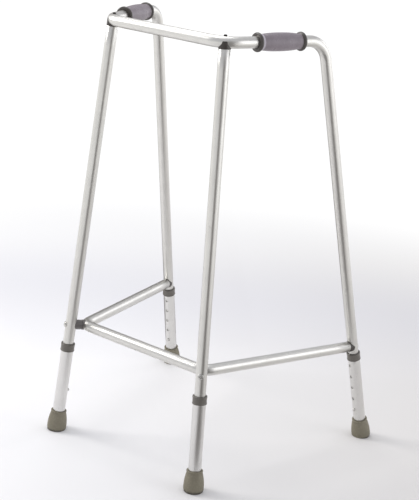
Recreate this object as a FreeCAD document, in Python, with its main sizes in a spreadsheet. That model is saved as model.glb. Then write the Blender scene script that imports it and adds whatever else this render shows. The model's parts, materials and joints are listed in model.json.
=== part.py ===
import FreeCAD, Part
import math
import os

import Sketcher
from FreeCAD import Placement, Rotation, Vector

# Height-adjustable walking frame. Millimetres, +Z up, origin on the floor at the middle of the
# four feet. The user stands at +Y and faces -Y, so their left hand is at +X.

doc = FreeCAD.newDocument("walking_frame")

# ---------------------------------------------------------------- driving dimensions

DRIVING = {
    # where the legs stand and where they meet the handle's height
    "handle_height": 867.0,
    "front_foot_x": 188.0,
    "front_foot_y": 236.7,
    "rear_foot_x": 271.8,
    "rear_foot_y": 237.4,
    "front_top_x": 137.7,
    "front_top_y": 191.2,
    "rear_top_x": 210.7,
    "rear_top_y": 21.8,
    # tubes
    "upper_tube_od": 22.2,
    "upper_tube_wall": 1.6,
    "lower_tube_od": 25.4,
    "lower_tube_wall": 1.2,
    "handle_bend_radius": 48.0,
    "corner_bend_radius": 45.0,
    "brace_bend_radius": 28.0,
    # height adjustment
    "hole_pitch": 27.3,
    "front_lowest_hole": 62.0,
    "rear_lowest_hole": 70.4,
    "hole_count": 5,
    "rear_hole_in_use": 0,
    "front_hole_in_use": 1,
    "hole_dia": 6.8,
    "button_dia": 6.4,
    "button_standout": 3.5,
    "button_flange_dia": 8.4,
    "button_flange_thickness": 0.8,
    "button_flange_clearance": 1.1,
    "button_dome": 2.2,
    "inner_end_below_button": 20.0,
    "spring_thickness": 0.8,
    "spring_width": 8.0,
    "spring_arm": 38.0,
    "spring_tail": 5.0,
    "spring_gap": 0.1,
    "glide_head": 3.0,
    "glide_edge": 0.8,
    "glide_plug": 11.0,
    # collar that caps the lower tube
    "front_collar_middle": 187.0,
    "rear_collar_middle": 201.3,
    "collar_od": 29.0,
    "collar_length": 16.5,
    "collar_lip": 2.5,
    "collar_bottom_edge": 0.6,
    "collar_top_edge": 1.0,
    "collar_mouth_edge": 0.8,
    "running_clearance": 0.08,
    # rubber foot
    "ferrule_rim_od": 32.5,
    "ferrule_base_od": 40.4,
    "ferrule_height": 43.5,
    "ferrule_floor": 6.0,
    "ferrule_sole_inset": 1.5,
    "ferrule_sole_edge": 4.0,
    "ferrule_belly_inset": 0.6,
    "ferrule_belly_share": 0.45,
    "ferrule_lip": 0.7,
    "ferrule_lip_width": 2.5,
    "washer_thickness": 1.5,
    "washer_clearance": 0.1,
    # lower brace
    "bolt_height": 235.2,
    "bolt_azimuth": 31.0,
    "brace_rear_height": 217.0,
    "spacer_gap": 13.3,
    "spacer_dia": 21.0,
    "brace_end_gap": 4.3,
    "fastener_dia": 6.0,
    "fastener_hole_dia": 6.4,
    "bolt_head_dia": 11.5,
    "bolt_head_height": 3.6,
    "bolt_head_rounding": 1.6,
    "bolt_recess_dia": 3.2,
    "bolt_recess_depth": 2.0,
    "bolt_head_tuck": 2.0,
    "shank_into_head": 1.0,
    "nut_dia": 11.0,
    "nut_length": 9.0,
    "nut_seat_depth": 1.0,
    "nut_flank": 2.0,
    "end_screw_head_dia": 10.0,
    "end_screw_head_height": 3.0,
    "end_screw_head_rounding": 1.5,
    "end_screw_head_tuck": 3.0,
    "end_screw_grip": 24.0,
    "spigot_length": 22.0,
    "spigot_clearance": 0.05,
    # how far a cutting shape runs past what it cuts
    "overrun": 2.0,
    # saddle plugs under the top corners
    "saddle_dia": 24.0,
    "saddle_flange": 1.2,
    "saddle_ear_rise": 2.0,
    "saddle_ear_top": 8.0,
    "saddle_chamfer": 0.5,
    "saddle_screw_dia": 5.0,
    "saddle_screw_head_dia": 6.6,
    "saddle_screw_head_height": 2.6,
    "saddle_screw_seat": 0.3,
    "saddle_screw_grip": 18.0,
    "saddle_screw_point": 1.0,
    # handgrips
    "grip_start": 69.7,
    "grip_length": 108.0,
    "grip_flange_dia": 36.6,
    "grip_flange_width": 7.0,
    "grip_bead_rounding": 2.5,
    "grip_neck_dia": 29.6,
    "grip_neck_at": 11.0,
    "grip_barrel_dia": 35.2,
}

sheet = doc.addObject("Spreadsheet::Sheet", "dims")
for row, (alias, value) in enumerate(DRIVING.items(), start=1):
    sheet.set(f"A{row}", alias)
    sheet.set(f"B{row}", str(value))
    sheet.setAlias(f"B{row}", alias)
doc.recompute()


class Size:
    """A length worked out from the sheet, with the expression that gives the same length."""

    def __init__(self, value, text):
        self.value = float(value)
        self.text = text

    def worked_out(self, other, sign, result):
        return Size(result, f"({self.text} {sign} {as_size(other).text})")

    def __add__(self, other):
        return self.worked_out(other, "+", self.value + as_size(other).value)

    def __sub__(self, other):
        return self.worked_out(other, "-", self.value - as_size(other).value)

    def __mul__(self, other):
        return self.worked_out(other, "*", self.value * as_size(other).value)

    def __truediv__(self, other):
        return self.worked_out(other, "/", self.value / as_size(other).value)

    def __neg__(self):
        return Size(-self.value, f"(0 - {self.text})")


def as_size(number):
    return number if isinstance(number, Size) else Size(number, repr(float(number)))


def dim(alias):
    return Size(sheet.get(alias), f"dims.{alias}")


def bind(obj, prop, size):
    setattr(obj, prop, as_size(size).value)
    obj.setExpression(prop, as_size(size).text)


# ---------------------------------------------------------------- how pieces are drawn

parts = {}


def add_part(obj, node):
    """Names a finished piece after its node."""
    obj.Label = node
    parts[node] = obj
    return obj


def frame_at(origin, along, towards):
    """A placement whose Z runs along one direction and whose X leans towards another."""
    z_axis = Vector(along).normalize()
    x_axis = (towards - z_axis * towards.dot(z_axis)).normalize()
    return Placement(origin, Rotation(x_axis, z_axis.cross(x_axis), z_axis, "ZXY"))


def origin_plane(body, role):
    return next(f for f in body.Origin.OriginFeatures if f.Role == role)


def new_sketch(body, name, role):
    sketch = body.newObject("Sketcher::SketchObject", name)
    sketch.AttachmentSupport = (origin_plane(body, role), [""])
    sketch.MapMode = "FlatFace"
    return sketch


def place_point(sketch, geometry, end, point):
    """Holds one end of a line or arc at a place worked out from the sheet."""
    for kind, length in zip(("DistanceX", "DistanceY"), point):
        size = as_size(length)
        index = sketch.addConstraint(Sketcher.Constraint(kind, -1, 1, geometry, end, size.value))
        sketch.setExpression(f"Constraints[{index}]", size.text)


def draw_outline(sketch, outline):
    """A closed outline. A point with a third item is one that the arc beside it passes through."""
    corners = [index for index, point in enumerate(outline) if len(point) == 2]
    vectors = [Vector(as_size(point[0]).value, as_size(point[1]).value, 0) for point in outline]
    for order, index in enumerate(corners):
        following = corners[(order + 1) % len(corners)]
        start, finish = vectors[index], vectors[following]
        if (index + 1) % len(outline) == following:
            curve = Part.LineSegment(start, finish)
        else:
            curve = Part.Arc(start, vectors[index + 1], finish)
        geometry = sketch.addGeometry(curve, False)
        first_end = sketch.getPoint(geometry, 1)
        ends = (1, 2) if first_end.distanceToPoint(start) < first_end.distanceToPoint(finish) else (2, 1)
        place_point(sketch, geometry, ends[0], outline[index])
        place_point(sketch, geometry, ends[1], outline[following])
        if isinstance(curve, Part.Arc):
            middle = sketch.addGeometry(Part.Point(vectors[index + 1]), True)
            place_point(sketch, middle, 1, outline[index + 1][:2])
            sketch.addConstraint(Sketcher.Constraint("PointOnObject", middle, 1, geometry))


def turned_body(name, outline, placement):
    """A body of revolution: the outline gives radius and height, and turns about the body's Z."""
    body = doc.addObject("PartDesign::Body", name)
    sketch = new_sketch(body, f"{name}_outline", "XZ_Plane")
    draw_outline(sketch, outline)
    turn = body.newObject("PartDesign::Revolution", f"{name}_turn")
    turn.Profile = sketch
    turn.ReferenceAxis = (sketch, ["V_Axis"])
    turn.Angle = 360
    body.Tip = turn
    body.Placement = placement
    return body


def rod(name, radius, start, end, placement):
    """A straight round bar along the placement's Z."""
    zero = 0.0
    return turned_body(name, [(zero, start), (radius, start), (radius, end), (zero, end)], placement)


def straight_tube(name, outer, inner, start, end, placement):
    return turned_body(name, [(inner, start), (outer, start), (outer, end), (inner, end)], placement)


def combine(kind, name, base, tool):
    obj = doc.addObject(kind, name)
    obj.Base = base
    obj.Tool = tool
    return obj


def cut(name, base, *tools):
    """Takes every tool away from the base."""
    for order, tool in enumerate(tools, start=1):
        base = combine("Part::Cut", f"{name}_cut{order}", base, tool)
    return base


def join(name, *shapes):
    fuse = doc.addObject("Part::MultiFuse", f"{name}_joined")
    fuse.Shapes = list(shapes)
    return fuse


def group(name, *shapes):
    """Identical loose fasteners that share one node, each a solid of its own."""
    compound = doc.addObject("Part::Compound", name)
    compound.Links = list(shapes)
    return compound


def bent_path(corners, radii):
    """A wire of straight runs joined by tangent arcs, one radius for each inner corner."""
    edges = []
    start = corners[0]
    for before, corner, after, radius in zip(corners, corners[1:], corners[2:], radii):
        inward = (before - corner).normalize()
        outward = (after - corner).normalize()
        half_turn = (math.pi - inward.getAngle(outward)) / 2
        tangent = radius * math.tan(half_turn)
        bisector = (inward + outward).normalize()
        arc_start = corner + inward * tangent
        arc_end = corner + outward * tangent
        arc_middle = corner + bisector * (radius / math.cos(half_turn) - radius)
        edges.append(Part.LineSegment(start, arc_start).toShape())
        edges.append(Part.Arc(arc_start, arc_middle, arc_end).toShape())
        start = arc_end
    edges.append(Part.LineSegment(start, corners[-1]).toShape())
    return Part.Wire(edges)


def swept_round(name, path, radius):
    """A solid round bar swept along the path, its radius bound to the sheet."""
    spine = doc.addObject("Part::Feature", f"{name}_path")
    spine.Shape = path
    first_edge = path.OrderedEdges[0]
    section = doc.addObject("Part::Circle", f"{name}_section")
    bind(section, "Radius", radius)
    direction = first_edge.tangentAt(first_edge.FirstParameter)
    side = Vector(1, 0, 0) if abs(direction.x) < 0.9 else Vector(0, 1, 0)
    section.Placement = frame_at(first_edge.valueAt(first_edge.FirstParameter), direction, side)
    sweep = doc.addObject("Part::Sweep", f"{name}_sweep")
    sweep.Sections = [section]
    sweep.Spine = (spine, [f"Edge{number}" for number in range(1, len(path.Edges) + 1)])
    sweep.Solid = True
    sweep.Frenet = False
    return sweep


# ---------------------------------------------------------------- lengths used by several pieces

tube_r = dim("upper_tube_od") / 2
tube_bore_r = tube_r - dim("upper_tube_wall")
lower_r = dim("lower_tube_od") / 2
lower_bore_r = lower_r - dim("lower_tube_wall")
handle_z = dim("handle_height").value
tube_bottom = dim("ferrule_floor") + dim("washer_thickness")
overrun = dim("overrun")
half_bar = dim("upper_tube_od") * 2
SIDES = {"left": 1, "right": -1}
UP = Vector(0, 0, 1)


def mirrored(point, side):
    return Vector(point.x * side, point.y, point.z)


class Leg:
    """One leg's own frame: Z up its axis from the floor, X towards its snap button."""

    def __init__(self, end, side_name):
        side = SIDES[side_name]
        sign = -1 if end == "front" else 1
        top_y = -dim("front_top_y").value if end == "front" else dim("rear_top_y").value
        self.end = end
        self.side = side
        self.name = f"{end}_{side_name}"
        self.foot = Vector(side * dim(f"{end}_foot_x").value, sign * dim(f"{end}_foot_y").value, 0)
        self.top = Vector(side * dim(f"{end}_top_x").value, top_y, handle_z)
        self.up = (self.top - self.foot).normalize()
        self.lowest_hole = dim(f"{end}_lowest_hole")
        self.button_at = self.lowest_hole + dim("hole_pitch") * dim(f"{end}_hole_in_use")
        self.inner_end = self.button_at - dim("inner_end_below_button")
        self.collar_middle = dim(f"{end}_collar_middle")
        self.tube_top = self.collar_middle + dim("collar_length") / 2 - dim("collar_lip")

    def face(self, towards):
        """Turns the leg's X towards a direction."""
        self.placement = frame_at(self.foot, self.up, towards)
        self.x_axis = self.placement.Rotation.multVec(Vector(1, 0, 0))

    def at_height(self, z):
        return self.foot + self.up * (z / self.up.z)

    def across(self, along):
        """A frame on the leg's axis whose Z points along the leg's own X."""
        centre = self.foot + self.up * as_size(along).value
        return frame_at(centre, self.x_axis, self.up)


legs = {
    (end, side): Leg(end, side)
    for end in ("front", "rear")
    for side in SIDES
}

# the front legs' bolts and buttons point across the frame, at an angle from straight back
azimuth = math.radians(dim("bolt_azimuth").value)
for side_name, side in SIDES.items():
    legs["front", side_name].face(Vector(-side * math.sin(azimuth), math.cos(azimuth), 0))


def brace_corner():
    """Where the brace's front run and left side run would meet if its bend were sharp."""
    leg = legs["front", "left"]
    bolt = leg.at_height(dim("bolt_height").value)
    reach = dim("upper_tube_od").value + dim("spacer_gap").value
    bend_middle = bolt + leg.x_axis * reach
    rear = legs["rear", "left"].at_height(dim("brace_rear_height").value)
    radius = dim("brace_bend_radius").value
    corner = bend_middle
    for _ in range(6):
        front_run = Vector(-1, 0, 0)
        side_run = (rear - corner).normalize()
        half_turn = (math.pi - front_run.getAngle(side_run)) / 2
        bisector = (front_run + side_run).normalize()
        corner = bend_middle - bisector * (radius / math.cos(half_turn) - radius)
    return corner


front_corner = brace_corner()
brace_join = {name: legs["rear", name].at_height(dim("brace_rear_height").value) for name in SIDES}
brace_run = {
    name: (mirrored(front_corner, side) - brace_join[name]).normalize()
    for name, side in SIDES.items()
}
for side_name in SIDES:
    legs["rear", side_name].face(brace_run[side_name])

# ---------------------------------------------------------------- main tube: one bent length


def handle_line():
    """The left handle's two sharp corners: over the front leg, and over the rear leg."""
    rear = legs["rear", "left"].top
    over_leg = legs["front", "left"].top
    radius = dim("corner_bend_radius").value
    corner = over_leg
    for _ in range(6):
        rail = Vector(-1, 0, 0)
        handle = (rear - corner).normalize()
        half_turn = (math.pi - rail.getAngle(handle)) / 2
        bisector = (rail + handle).normalize()
        corner = over_leg - bisector * (radius / math.cos(half_turn) - radius)
    return corner, rear


handle_front, handle_rear = handle_line()
rear_leg = legs["rear", "left"]
left_end = rear_leg.foot + rear_leg.up * rear_leg.inner_end.value
left_corners = [left_end, handle_rear, handle_front]
right_corners = [mirrored(point, -1) for point in reversed(left_corners)]
handle_radius = dim("handle_bend_radius").value
corner_radius = dim("corner_bend_radius").value
main_path = bent_path(
    left_corners + right_corners,
    [handle_radius, corner_radius, corner_radius, handle_radius],
)
main_outside = swept_round("main_outside", main_path, tube_r)
main_inside = swept_round("main_inside", main_path, tube_bore_r)
main_tube = combine("Part::Cut", "main_tube", main_outside, main_inside)


def button_hole(leg):
    """The hole in the inner tube that the snap button comes out of."""
    hole_r = dim("hole_dia") / 2
    return rod(f"button_hole_{leg.name}", hole_r, 0.0, tube_r + overrun, leg.across(leg.button_at))


def along_brace(side_name):
    """A frame where the brace's side run meets the rear leg's axis, its Z along the run."""
    return frame_at(brace_join[side_name], brace_run[side_name], UP)


main_holes = []
for side_name in SIDES:
    hole_r = dim("fastener_hole_dia") / 2
    reach = dim("upper_tube_od")
    screw_r = dim("saddle_screw_dia") / 2
    top_frame = frame_at(legs["front", side_name].top, legs["front", side_name].up, Vector(1, 0, 0))
    main_holes.append(button_hole(legs["rear", side_name]))
    main_holes.append(rod(f"end_hole_{side_name}", hole_r, -reach, reach, along_brace(side_name)))
    main_holes.append(rod(f"saddle_hole_{side_name}", screw_r, -reach, reach, top_frame))
add_part(cut("main_frame_tube", main_tube, *main_holes), "main_frame_tube")

# ---------------------------------------------------------------- front leg tubes and saddle plugs

saddle_screws = []
for side_name in SIDES:
    leg = legs["front", side_name]
    length = (leg.top - leg.foot).Length
    bolt_at = dim("bolt_height").value / leg.up.z
    leg_top = as_size(length) - tube_r - dim("saddle_flange")
    blank = straight_tube(
        f"front_tube_{side_name}", tube_r, tube_bore_r, leg.inner_end, leg_top, leg.placement
    )
    bolt_hole = rod(
        f"bolt_hole_{side_name}",
        dim("fastener_hole_dia") / 2,
        -dim("upper_tube_od"),
        dim("upper_tube_od"),
        leg.across(bolt_at),
    )
    tube = cut(f"front_leg_{side_name}", blank, button_hole(leg), bolt_hole)
    add_part(tube, f"front_leg_tube_{side_name}")

    # plug: a spigot in the leg, a flange on its end, and two ears that cradle the bend above
    spigot_r = tube_bore_r - dim("spigot_clearance")
    flange_r = dim("saddle_dia") / 2
    ear_top = as_size(length) + dim("saddle_ear_rise")
    plug = turned_body(
        f"saddle_blank_{side_name}",
        [
            (dim("saddle_screw_dia") / 2, leg_top - dim("spigot_length")),
            (spigot_r, leg_top - dim("spigot_length")),
            (spigot_r, leg_top),
            (flange_r - dim("saddle_chamfer"), leg_top),
            (flange_r, leg_top + dim("saddle_chamfer")),
            (flange_r, ear_top),
            (dim("saddle_screw_dia") / 2, ear_top),
        ],
        leg.placement,
    )
    # the ears narrow upwards, seen along the bend's own radius
    corner = mirrored(handle_front, leg.side)
    bend_radius = (leg.top - corner).normalize()
    wedge = doc.addObject("PartDesign::Body", f"saddle_wedge_{side_name}")
    sketch = new_sketch(wedge, f"saddle_wedge_outline_{side_name}", "XZ_Plane")
    half_top = dim("saddle_ear_top") / 2
    low = leg_top - dim("spigot_length") - overrun
    wide = flange_r + overrun
    draw_outline(
        sketch,
        [
            (-wide, low),
            (wide, low),
            (wide, leg_top + dim("saddle_flange")),
            (half_top, ear_top),
            (-half_top, ear_top),
            (-wide, leg_top + dim("saddle_flange")),
        ],
    )
    pad = wedge.newObject("PartDesign::Pad", f"saddle_wedge_pad_{side_name}")
    pad.Profile = sketch
    bind(pad, "Length", dim("saddle_dia") + overrun * 2)
    pad.Midplane = True
    wedge.Tip = pad
    wedge.Placement = frame_at(leg.foot, leg.up, leg.up.cross(bend_radius))
    eared = combine("Part::Common", f"saddle_eared_{side_name}", plug, wedge)
    saddle = cut(f"saddle_{side_name}", eared, main_outside)
    add_part(saddle, f"saddle_plug_{side_name}")

    # screw: down through the bend into the spigot
    point = leg_top - dim("saddle_screw_grip")
    seat = as_size(length) + tube_r + dim("saddle_screw_seat")
    shank_r = dim("saddle_screw_dia") / 2
    head_r = dim("saddle_screw_head_dia") / 2
    screw = turned_body(
        f"saddle_screw_{side_name}",
        [
            (0.0, point),
            (shank_r, point + dim("saddle_screw_point")),
            (shank_r, seat),
            (head_r, seat),
            (head_r, seat + dim("saddle_screw_head_height") / 2),
            (0.0, seat + dim("saddle_screw_head_height")),
        ],
        leg.placement,
    )
    saddle_screws.append(screw)


add_part(group("saddle_screws", *saddle_screws), "saddle_screws")

# ---------------------------------------------------------------- lower brace: one bent tube

fastener_r = dim("fastener_dia") / 2
tube_end = tube_r + dim("brace_end_gap")
brace_ends = {name: brace_join[name] + brace_run[name] * tube_end.value for name in SIDES}
brace_path = bent_path(
    [brace_ends["left"], front_corner, mirrored(front_corner, -1), brace_ends["right"]],
    [dim("brace_bend_radius").value] * 2,
)
brace_outside = swept_round("brace_outside", brace_path, tube_r)
brace_inside = swept_round("brace_inside", brace_path, tube_bore_r)
brace_blank = combine("Part::Cut", "brace_blank", brace_outside, brace_inside)


def brace_bend(side_name):
    """A frame at the centre of the brace's bend, its Z along the bend's axis."""
    side = SIDES[side_name]
    corner = mirrored(front_corner, side)
    front_run = Vector(-side, 0, 0)
    half_turn = (math.pi - front_run.getAngle(brace_run[side_name] * -1)) / 2
    bisector = (front_run - brace_run[side_name]).normalize()
    centre = corner + bisector * (dim("brace_bend_radius").value / math.cos(half_turn))
    return frame_at(centre, front_run.cross(brace_run[side_name]) * side, bisector)


bolt_end = tube_r * 3 + dim("spacer_gap")
thread_depth = dim("nut_length") / 2
brace_holes = []
brace_bolts = []
brace_nuts = []
for side_name in SIDES:
    leg = legs["front", side_name]
    bolt_at = dim("bolt_height").value / leg.up.z
    across = leg.across(bolt_at)
    hole_r = dim("fastener_hole_dia") / 2
    brace_holes.append(rod(f"brace_hole_{side_name}", hole_r, 0.0, bolt_end + overrun, across))

    # spacer: a short round block with a saddle at each end, between the leg and the brace's bend
    block = straight_tube(
        f"spacer_block_{side_name}",
        dim("spacer_dia") / 2,
        hole_r,
        0.0,
        tube_r * 2 + dim("spacer_gap"),
        across,
    )
    middle = as_size(bolt_at)
    leg_bar = rod(f"leg_bar_{side_name}", tube_r, middle - half_bar, middle + half_bar, leg.placement)
    add_part(cut(f"spacer_{side_name}", block, leg_bar, brace_outside), f"brace_spacer_{side_name}")

    # bolt: a pan head with a cross recess, seated on the outside of the leg
    recess_r = dim("bolt_recess_dia") / 2
    head_r = dim("bolt_head_dia") / 2
    crown = -tube_r - dim("bolt_head_height")
    tuck = -tube_r + dim("bolt_head_tuck")
    head = turned_body(
        f"bolt_head_{side_name}",
        [
            (recess_r, crown + dim("bolt_recess_depth")),
            (recess_r, crown),
            (head_r - dim("bolt_head_rounding"), crown),
            (head_r, crown + dim("bolt_head_height") / 2),
            (head_r, tuck),
            (fastener_r, tuck),
            (fastener_r, bolt_end + thread_depth),
            (0.0, bolt_end + thread_depth),
            (0.0, crown + dim("bolt_recess_depth")),
        ],
        across,
    )
    shank_start = -tube_r - dim("shank_into_head")
    shank = rod(f"bolt_shank_{side_name}", fastener_r, shank_start, bolt_end, across)
    brace_bolts.append(join(f"bolt_{side_name}", cut(f"bolt_{side_name}", head, leg_bar), shank))

    # nut: a domed hexagon against the inside of the brace's bend
    hexagon = doc.addObject("Part::Prism", f"nut_hexagon_{side_name}")
    hexagon.Polygon = 6
    bind(hexagon, "Circumradius", dim("nut_dia") / 2)
    bind(hexagon, "Height", dim("nut_length"))
    seat = bolt_end - dim("nut_seat_depth")
    hexagon.Placement = across.multiply(Placement(Vector(0, 0, seat.value), Rotation()))
    skirt_r = dim("nut_dia") / 2 + dim("nut_seat_depth")
    crown = seat + dim("nut_length")
    dome = turned_body(
        f"nut_dome_{side_name}",
        [
            (0.0, seat),
            (skirt_r, seat),
            (skirt_r, bolt_end + dim("nut_flank")),
            (dim("nut_dia") * 0.4, bolt_end + dim("nut_length") * 0.7, "via"),
            (dim("nut_dia") * 0.14, crown),
            (0.0, crown),
        ],
        across,
    )
    rounded = combine("Part::Common", f"nut_rounded_{side_name}", hexagon, dome)
    bend = brace_bend(side_name)
    core_r = dim("brace_bend_radius") - tube_r
    bend_core = rod(f"bend_core_{side_name}", core_r, -tube_r * 2, tube_r * 2, bend)
    nut = combine("Part::Common", f"nut_seated_{side_name}", rounded, bend_core)
    thread = rod(f"nut_thread_{side_name}", fastener_r, seat - overrun, bolt_end + thread_depth, across)
    brace_nuts.append(cut(f"nut_{side_name}", nut, thread))

# ---------------------------------------------------------------- the brace's rear ends

end_screws = []
for side_name in SIDES:
    along = along_brace(side_name)
    leg = legs["rear", side_name]
    join_at = dim("brace_rear_height").value / leg.up.z
    middle = as_size(join_at)
    leg_bar = rod(f"rear_leg_bar_{side_name}", tube_r, middle - half_bar, middle + half_bar, leg.placement)
    spigot_r = tube_bore_r - dim("spigot_clearance")
    blank = turned_body(
        f"end_plug_blank_{side_name}",
        [
            (fastener_r, 0.0),
            (tube_r, 0.0),
            (tube_r, tube_end),
            (spigot_r, tube_end),
            (spigot_r, tube_end + dim("spigot_length")),
            (fastener_r, tube_end + dim("spigot_length")),
        ],
        along,
    )
    add_part(cut(f"end_plug_{side_name}", blank, leg_bar), f"brace_end_plug_{side_name}")

    far_side = tube_r + dim("end_screw_head_height")
    head_r = dim("end_screw_head_dia") / 2
    rounding = dim("end_screw_head_rounding")
    tuck = -tube_r + dim("end_screw_head_tuck")
    screw = turned_body(
        f"end_screw_blank_{side_name}",
        [
            (0.0, -far_side),
            (head_r - rounding, -far_side),
            (head_r, -far_side + rounding),
            (head_r, tuck),
            (fastener_r, tuck),
            (fastener_r, dim("end_screw_grip")),
            (0.0, dim("end_screw_grip")),
        ],
        along,
    )
    shank_start = -far_side + dim("shank_into_head")
    shank = rod(f"end_screw_shank_{side_name}", fastener_r, shank_start, dim("end_screw_grip"), along)
    end_screws.append(join(f"end_screw_{side_name}", cut(f"end_screw_{side_name}", screw, leg_bar), shank))

add_part(cut("brace_tube", brace_blank, *brace_holes), "brace_tube")
add_part(group("brace_bolts", *brace_bolts), "brace_bolts")
add_part(group("brace_nuts", *brace_nuts), "brace_nuts")
add_part(group("brace_end_screws", *end_screws), "brace_end_screws")

# ---------------------------------------------------------------- handgrips

grip_end = dim("grip_start") + dim("grip_length")
flange_r = dim("grip_flange_dia") / 2
neck_r = dim("grip_neck_dia") / 2
flange_w = dim("grip_flange_width")
shoulder_r = flange_r - dim("grip_bead_rounding")
for side_name, side in SIDES.items():
    corner = mirrored(handle_front, side)
    handle = mirrored(handle_rear, side) - corner
    first_neck = dim("grip_start") + dim("grip_neck_at")
    last_neck = grip_end - dim("grip_neck_at")
    grip = turned_body(
        f"grip_{side_name}",
        [
            (tube_r, dim("grip_start")),
            (shoulder_r, dim("grip_start")),
            (flange_r, dim("grip_start") + flange_w / 2, "via"),
            (shoulder_r, dim("grip_start") + flange_w),
            (neck_r, first_neck),
            (dim("grip_barrel_dia") / 2, (first_neck + last_neck) / 2, "via"),
            (neck_r, last_neck),
            (shoulder_r, grip_end - flange_w),
            (flange_r, grip_end - flange_w / 2, "via"),
            (shoulder_r, grip_end),
            (tube_r, grip_end),
        ],
        frame_at(corner, handle, UP),
    )
    add_part(grip, f"handgrip_{side_name}")

# ---------------------------------------------------------------- the four adjustable feet

floor = doc.addObject("Part::Box", "below_floor")
floor_side = dim("rear_foot_x") * 3
floor_depth = dim("ferrule_base_od")
for prop, size in (("Length", floor_side), ("Width", floor_side), ("Height", floor_depth)):
    bind(floor, prop, size)
corner = Vector(floor_side.value / -2, floor_side.value / -2, -floor_depth.value)
floor.Placement = Placement(corner, Rotation())

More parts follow.
